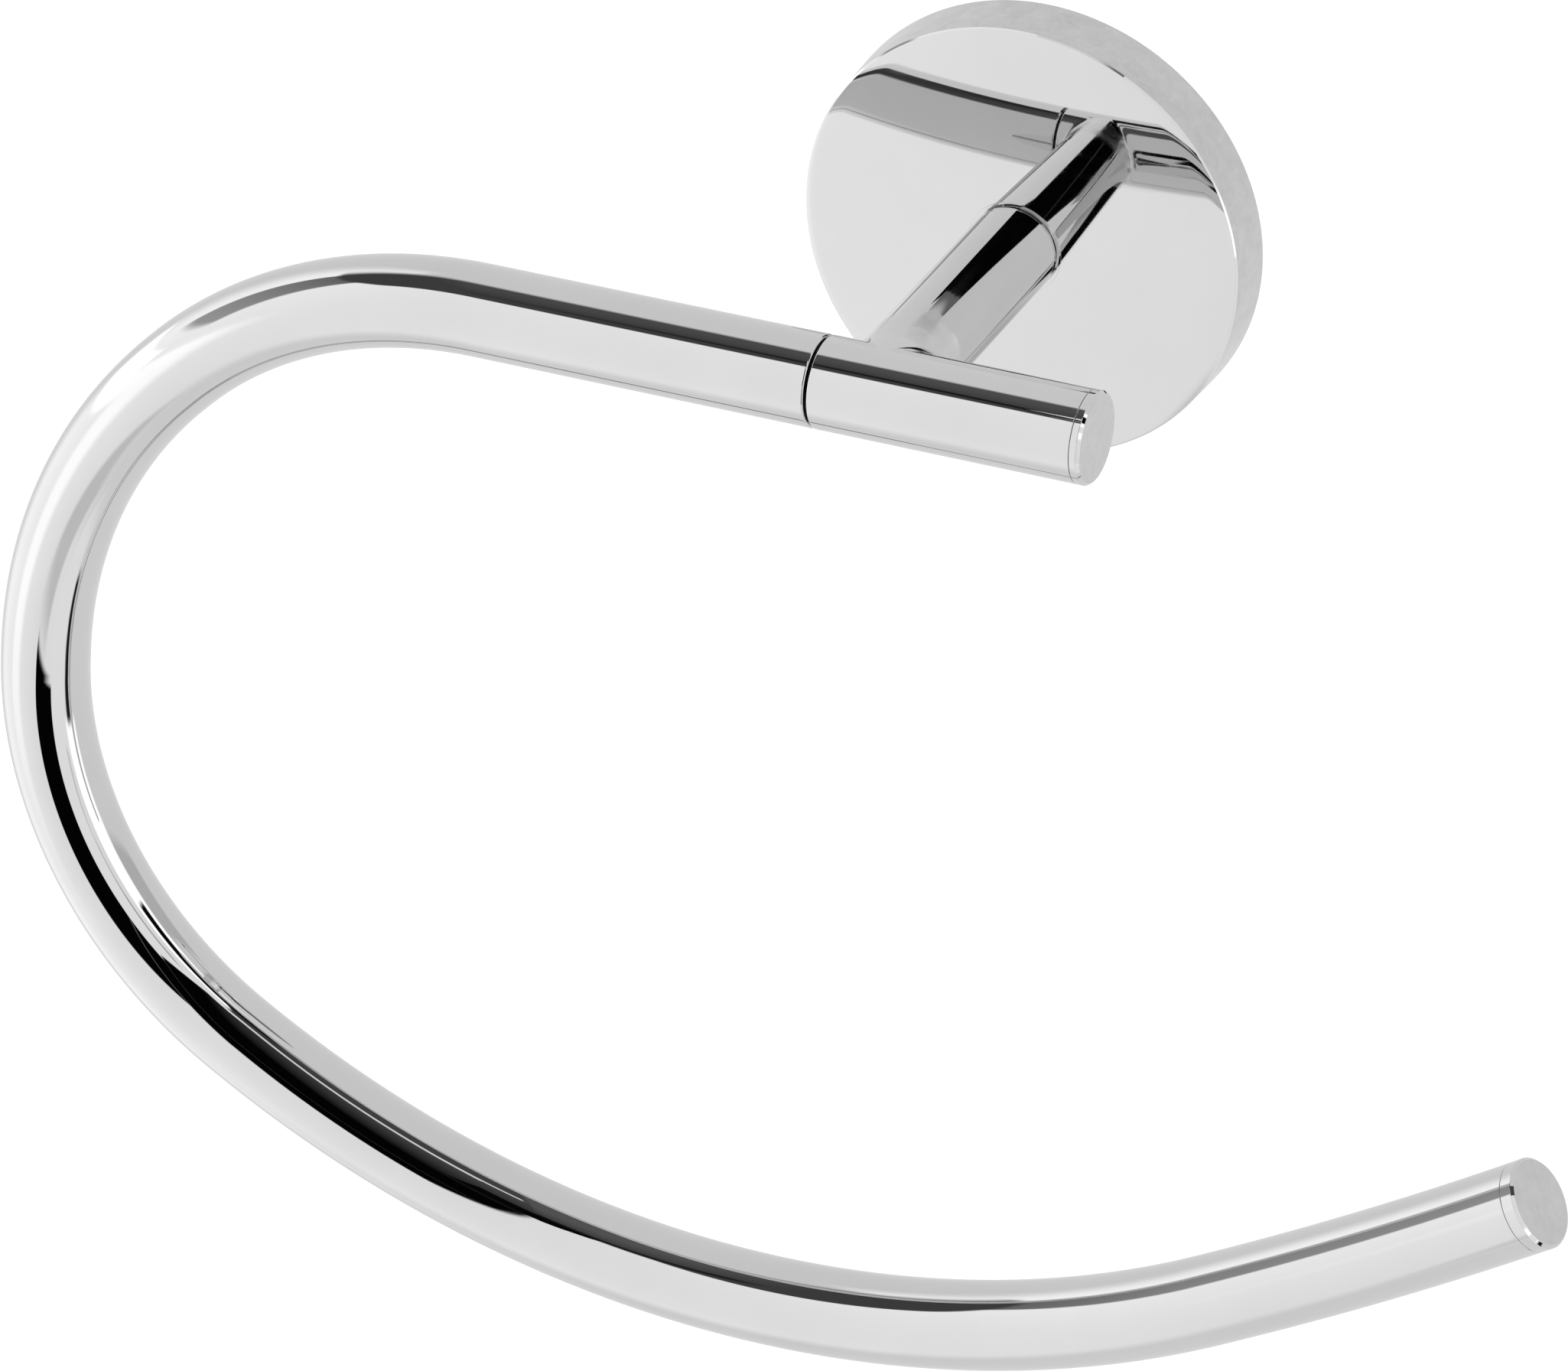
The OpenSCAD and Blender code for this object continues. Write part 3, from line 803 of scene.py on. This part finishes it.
def bracket():
    br, pr, h, fl_h, gr = CAVITY_R - 0.3, CAVITY_R - 3.6, 5.2, 2.2, 0.3
    s = Shell()
    prof = poly([(7.0, 0, 0), (7.0, fl_h, 0.3), (pr, fl_h, 0.6), (pr, h, 0.35), (br, h, 0.35), (br, 0, gr), (7.0, 0, 0.2), (7.0, 0.4, 0)], 4)
    prof[0] = line((7.0, 0.4), prof[0][0][1])
    lathe(s, prof, WALL, 240)
    body = s.build("bracket_work")
    pad = box_mesh("pad", (-7, -h, -26.8), (7, -0.4, -21))
    notch = box_mesh("notch", (-5.2, -h - 2, -br - 2), (5.2, 2, -25.5))
    c, q = math.cos(0.021), math.sin(0.021)     # turned a little, so that no corner lies on a seam of the plate
    holes = [rod_mesh("hole", Axis((x, 0, 0), (c, 0, q), (-q, 0, c), (0, -1, 0)), 2.5, -3, 9, 72) for x in (-16.0, 16.0)]
    dimple = rod_mesh("dimple", GRUB, 1.0, -26.5, -24.9, 32)
    out = joined(body, [("UNION", pad), ("DIFFERENCE", notch), ("DIFFERENCE", holes[0]), ("DIFFERENCE", holes[1]),
                        ("DIFFERENCE", dimple)])
    out.name = "wall_bracket_plate"

    def rule(co):
        x, d, z = co[:, 0], -co[:, 1], co[:, 2]
        r = np.hypot(x, z)
        rad = np.stack([x, 0 * x, z], 1) / np.maximum(r, 1e-9)[:, None]
        yield rad, abs(r - br) < 0.02
        yield -rad, (abs(r - pr) < 0.02) | (abs(r - 7.0) < 0.02)
        out_ = np.array([0, -1.0, 0])
        for rc, zc, f, sign in ((7.3, fl_h - 0.3, 0.3, 1), (pr - 0.6, fl_h + 0.6, 0.6, -1), (pr + 0.35, h - 0.35, 0.35, 1),
                                (br - 0.35, h - 0.35, 0.35, 1), (br - gr, gr, gr, 1), (7.2, 0.2, 0.2, 1)):
            v = rad * (r - rc)[:, None] + out_ * (d - zc)[:, None]
            ln = np.linalg.norm(v, axis=1)
            yield sign * v / np.maximum(ln, 1e-9)[:, None], abs(ln - f) < 0.01
        for hx in (-16.0, 16.0):
            v = np.stack([x - hx, 0 * x, z], 1)
            ln = np.linalg.norm(v, axis=1)
            yield -v / np.maximum(ln, 1e-9)[:, None], abs(ln - 2.5) < 0.01

    renormal(out, rule)
    return piece("wall_bracket_plate", out, "wall_bracket", [zinc])


bracket()


def hexagon(af):
    return lambda a: (af / 2) / np.cos((a + math.pi / 6) % (math.pi / 3) - math.pi / 6)


def screws():
    # button head screw through the flange into the post
    z0, head, shank = PAD_Z - 1.2 - 3.2, 5.2, 18.5
    s = Shell()
    n = 96
    # the dome runs from the flat of the head round to its edge
    dome_k = 8
    t = np.linspace(0, 1, dome_k + 1)
    dome = [(3.6 + (5.15 - 3.6) * math.sin(a * math.pi / 2), z0 + 1.7 * (1 - math.cos(a * math.pi / 2))) for a in t]
    pts = np.array(dome)
    tan = np.gradient(pts, axis=0)
    nor = unit(np.stack([-tan[:, 1], tan[:, 0]], 1)) * -1
    prof = [(pts, nor)]
    prof += [line((5.15, z0 + 1.7), (5.2, z0 + 1.8))]
    prof += [line((5.2, z0 + 1.8), (5.2, z0 + 3.1)), line((5.2, z0 + 3.1), (5.1, z0 + 3.2)),
             line((5.1, z0 + 3.2), (3.0, z0 + 3.2)), line((3.0, z0 + 3.2), (3.0, z0 + 3.2 + shank - 1.2), 6)]
    prof += [line((3.0, z0 + 3.2 + shank - 1.2), (2.4, z0 + 3.2 + shank - 0.5)),
             line((2.4, z0 + 3.2 + shank - 0.5), (0, z0 + 3.2 + shank - 0.5))]
    prof = [(p, (q if i == 0 else -q)) for i, (p, q) in enumerate(prof)]
    lathe(s, prof, WALL, n)
    hexa = hexagon(4.0)
    rings(s, WALL, n, [0.0, hexa, hexa, lambda a: hexa(a) + 0.12, 3.6], [z0 + 2.4, z0 + 2.0, z0 + 0.12, z0, z0])
    piece("post_screw_body", s.build("post_screw_body"), "post_screw", [steel])
    # flat washer under its head
    s = Shell()
    w0 = PAD_Z - 1.2
    prof = poly([(3.2, w0 + 0.6, 0), (3.2, PAD_Z, 0.12), (6.5, PAD_Z, 0.25), (6.5, w0, 0.25), (3.2, w0, 0.12), (3.2, w0 + 0.6, 0)], 3)
    lathe(s, prof, WALL, 120)
    piece("post_washer_body", s.build("post_washer_body"), "post_washer", [steel])
    # set screw in the underside of the rim
    s = Shell()
    g0 = -FLANGE_R + 0.3
    prof = poly([(0, g0 + 5.0, 0), (0.9, g0 + 5.0, 0.1), (2.0, g0 + 3.9, 0.1), (2.0, g0, 0.2), (1.7, g0, 0)], 3)
    lathe(s, prof, GRUB, 72)
    hx = hexagon(2.0)
    rings(s, GRUB, 72, [1.7, hx, hx, 0.0], [g0, g0, g0 + 1.8, g0 + 2.1])
    piece("flange_grub_screw_body", s.build("flange_grub_screw_body"), "flange_grub_screw", [oxide])


screws()

for node, mat in (("arm_screw", steel_bar), ("arm_lock_washer", steel_bar), ("arm_insert", brass)):
    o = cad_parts[node]
    for i in range(max(1, len(o.material_slots))):
        if i < len(o.material_slots):
            o.material_slots[i].material = mat
        else:
            o.data.materials.append(mat)


# ---------------------------------------------------------------- studio

def studio():
    """A pale studio with a dark end behind the camera, as directions: a is degrees to the right of straight out
    from the wall, e is degrees up."""
    world = bpy.data.worlds.new("studio")
    bpy.context.scene.world = world
    world.use_nodes = True
    t = world.node_tree
    k = Nodes(t)
    coords = k.add("ShaderNodeTexCoord").outputs["Generated"]
    x, y, z = k.add("ShaderNodeSeparateXYZ", Vector=coords).outputs
    a = k.math("MULTIPLY", k.math("ARCTAN2", x, k.math("MULTIPLY", y, -1.0)), 180 / math.pi)
    e = k.math("MULTIPLY", k.math("ARCSINE", z), 180 / math.pi)

    def light(grey):
        """Radiance that the chrome shows as this grey."""
        g = grey / 255
        return (g / 12.92 if g < 0.04045 else ((g + 0.055) / 1.055) ** 2.4) / 0.70

    def side(ca, ce, c, soft):
        """1 where ca*a + ce*e is above c."""
        v = k.math("MULTIPLY_ADD", a, ca, k.math("MULTIPLY", e, ce)) if ca and ce else (
            k.math("MULTIPLY", a, ca) if ca else k.math("MULTIPLY", e, ce))
        return k.span(v, c - soft, c + soft)

    def area(*sides):
        m = sides[0]
        for s in sides[1:]:
            m = k.math("MULTIPLY", m, s)
        return m

    def quad(a0, a1, e0, e1, soft=1.0, soft_e=None):
        se = soft if soft_e is None else soft_e
        return area(side(1, 0, a0, soft), side(-1, 0, -a1, soft), side(0, 1, e0, se), side(0, -1, -e1, se))

    v = k.span(e, -70, 60, light(200), light(195), False)
    # wide wash from the front left and the front right
    wash = area(side(1, 0, -112, 14), side(-1, 0, -76, 8), side(0, 1, -58, 10), side(0, -1, -56, 3))
    tone = k.span(a, -95, -8, light(238), light(217), False)
    v = k.mix(wash, v, tone)
    # brighter part of the left wash
    v = k.mix(area(side(1, 0, -67, 5), side(-1, 0, 45, 6), side(0, 1, -33, 9), side(0, -1, -4, 6)), v, light(251))
    v = k.mix(area(side(1, 0, -84, 8), side(-1, 0, 52, 5), side(0, 1, -3.5, 1.2), side(0, -1, -3.5, 1.5)), v, light(254))
    v = k.mix(area(side(1, 0, -113, 2.5), side(-1, 0, 75, 3), side(0, 1, -3, 0.9), side(0, -1, -7.5, 1.0)), v, light(262))
    # the floor in front is a little darker
    v = k.mix(quad(-9, 21, -59, -38, 4, 4), v, light(184))
    # right: grey card, then a bright one
    v = k.mix(quad(38, 76, -64, 52, 2, 6), v, light(218))
    v = k.mix(quad(74, 99, -28, 74, 1.5, 2), v, light(256))
    v = k.mix(quad(99, 132, 4, 34, 3, 4), v, light(168))
    # dim ceiling and the dark end of the room
    v = k.mix(area(side(1, 0, -94, 1.5), side(-1, 0, 68, 2), side(0, 1, 14, 2), side(0, -1, -70, 3)), v,
              k.span(e, 15, 45, light(148), light(88), False))
    # the ceiling's near edge comes down towards the left
    slant = k.math("MAXIMUM", side(-0.42, 1, 66, 1.2), area(side(1, 0, -27, 1), side(0, 1, 55, 1)))
    top = area(side(1, 0, -100, 8), side(-1, 0, -90, 1.5), slant, side(0, 1, 42, 1))
    v = k.mix(top, v, k.span(e, 60, 74, light(58), light(80), False))
    v = k.mix(area(side(1, 0, -48, 6), side(-1, 0, 8, 1), quad(-180, 180, 57.0, 60.5, 0.9)), v, light(24))
    # dark end of the room: upright left edge, right edge that leans out above the horizon
    low = area(side(1, -0.25, 8.5, 0.7), side(-1, 0, -40.3, 0.6), side(0, 1, -35.5, 0.8), side(0, -1, -12, 1.5))
    mid = area(side(1, 0, -8, 0.7), side(-1, 0, -40.3, 0.6), side(0, 1, 11, 1.0), side(0, -1, -24, 0.5))
    high = area(side(1, 0, -8, 0.7), side(-1, 0.85, -23, 0.8), side(-1, 0, -89, 1.5), side(0, 1, 23.5, 0.5))
    dark = k.math("MAXIMUM", low, k.math("MAXIMUM", mid, high))
    v = k.mix(dark, v, k.span(e, 42, 70, light(3), light(62), False))
    v = k.mix(quad(79, 91, 22, 64, 1.2), v, light(4))
    v = k.mix(quad(79, 90, -56, -27, 2, 2), v, light(25))
    bg = t.nodes["Background"]
    t.links.new(v, bg.inputs["Strength"])
    bg.inputs["Color"].default_value = (1, 1, 1, 1)
    return world


studio()



def card(name, y, corners, tone):
    """A card that stands upright in front of the holder and is seen only in reflections.
    tone is "x" or "z" and two pairs of place and grey along it, in millimetres."""
    m = bpy.data.meshes.new(name)
    m.from_pydata([(px_ * MM, y * MM, pz_ * MM) for px_, pz_ in corners], [], [tuple(range(len(corners)))])
    o = bpy.data.objects.new(name, m)
    bpy.context.scene.collection.objects.link(o)
    mat = bpy.data.materials.new(name)
    mat.use_nodes = True
    t = mat.node_tree
    t.nodes.clear()
    k = Nodes(t)
    coords = k.add("ShaderNodeTexCoord").outputs["Object"]
    along = k.add("ShaderNodeSeparateXYZ", Vector=coords).outputs[0 if tone[0] == "x" else 2]
    (p0, g0), (p1, g1) = tone[1:]
    level = [((g / 255 + 0.055) / 1.055) ** 2.4 / 0.70 for g in (g0, g1)]
    uneven = k.span(k.noise(coords, 6.0, 2.0), 0.3, 0.7, 0.985, 1.015)
    e = k.add("ShaderNodeEmission", Strength=k.math("MULTIPLY", uneven, k.span(along, p0 * MM, p1 * MM, *level)))
    out = k.add("ShaderNodeOutputMaterial")
    t.links.new(e.outputs[0], out.inputs["Surface"])
    m.materials.append(mat)
    o.visible_camera = o.visible_diffuse = o.visible_transmission = o.visible_shadow = o.visible_volume_scatter = False


card("reflector_right", -150, [(77, -40), (77, 29), (72, 29), (75, 60), (77, 98), (73, 128), (69, 157), (69, 205), (250, 205),
                         (250, -172), (120, -172), (105, -147), (96, -134), (90, -124), (82, -110), (76, -98), (77, -60)],
     ["x", (196, 214), (216, 262)])
card("reflector_low", -150, [(70, -88), (57, -64), (57, -112), (88, -172), (118, -172), (104, -148), (92, -130), (80, -114),
                       (71, -98)], ["z", (-150, 187), (-90, 187.5)])
card("reflector_middle", -150, [(77, 29), (55, 29), (55, -62), (70, -88), (76, -92), (77, -60)], ["z", (-60, 176), (-38, 146)])
card("reflector_top", -150, [(-42, 164), (-33, 167), (2, 171), (36, 168), (69, 157), (69, 206), (125, 206), (125, 275), (-60, 275), (-60, 210),
                       (-42, 200)],
     ["z", (173, 106), (186, 202)])
card("dark_screen", -400, [(-104, 236), (-116, 270), (-124, 300), (-140, 346), (-152, 392), (-158, 425), (-48, 425),
                           (-48, 236)], ["z", (236, 3), (425, 6)])

floor_mesh = bpy.data.meshes.new("floor")
ring_n = 96
fa = np.arange(ring_n) * 2 * math.pi / ring_n
verts = [(0.0, 0.0, -0.40)] + [(25 * math.cos(q), 25 * math.sin(q), -0.40) for q in fa]
floor_mesh.from_pydata(verts, [], [(0, 1 + i, 1 + (i + 1) % ring_n) for i in range(ring_n)])
floor = bpy.data.objects.new("floor", floor_mesh)
bpy.context.scene.collection.objects.link(floor)
fm, fkn, fb, fco = material("pale_floor", 0.0)
paper = fkn.noise(fco, 40.0, 4.0)
fkn.tree.links.new(fkn.ramp(paper, [(0.3, (0.90, 0.90, 0.90)), (0.7, (0.93, 0.93, 0.93))]), fb.inputs["Base Color"])
fb.inputs["Roughness"].default_value = 0.9
fb.inputs["Emission Color"].default_value = (1, 1, 1, 1)
fb.inputs["Emission Strength"].default_value = 0.55
floor_mesh.materials.append(fm)
floor.visible_glossy = False

# ---------------------------------------------------------------- camera

az, el, roll = math.radians(24.725), math.radians(30.673), math.radians(-0.561)
back = np.array([math.sin(az) * math.cos(el), -math.cos(az) * math.cos(el), math.sin(el)])
right = np.array([math.cos(az), math.sin(az), 0])
up = np.cross(back, right)
r2, u2 = right * math.cos(roll) + up * math.sin(roll), -right * math.sin(roll) + up * math.cos(roll)
cam_data = bpy.data.cameras.new("camera")
cam_data.sensor_fit = "HORIZONTAL"
cam_data.sensor_width = 36.0
cam_data.lens = 36.0 * 10255.97 / 2050
cam_data.clip_start, cam_data.clip_end = 0.02, 200.0
cam = bpy.data.objects.new("camera", cam_data)
bpy.context.scene.collection.objects.link(cam)
cam.matrix_world = Matrix([[r2[i], u2[i], back[i], (0.345923, -0.832628, 0.464492)[i]] for i in range(3)] + [[0, 0, 0, 1]])
bpy.context.scene.camera = cam
bpy.context.scene.view_settings.view_transform = "Standard"

bpy.context.view_layer.update()
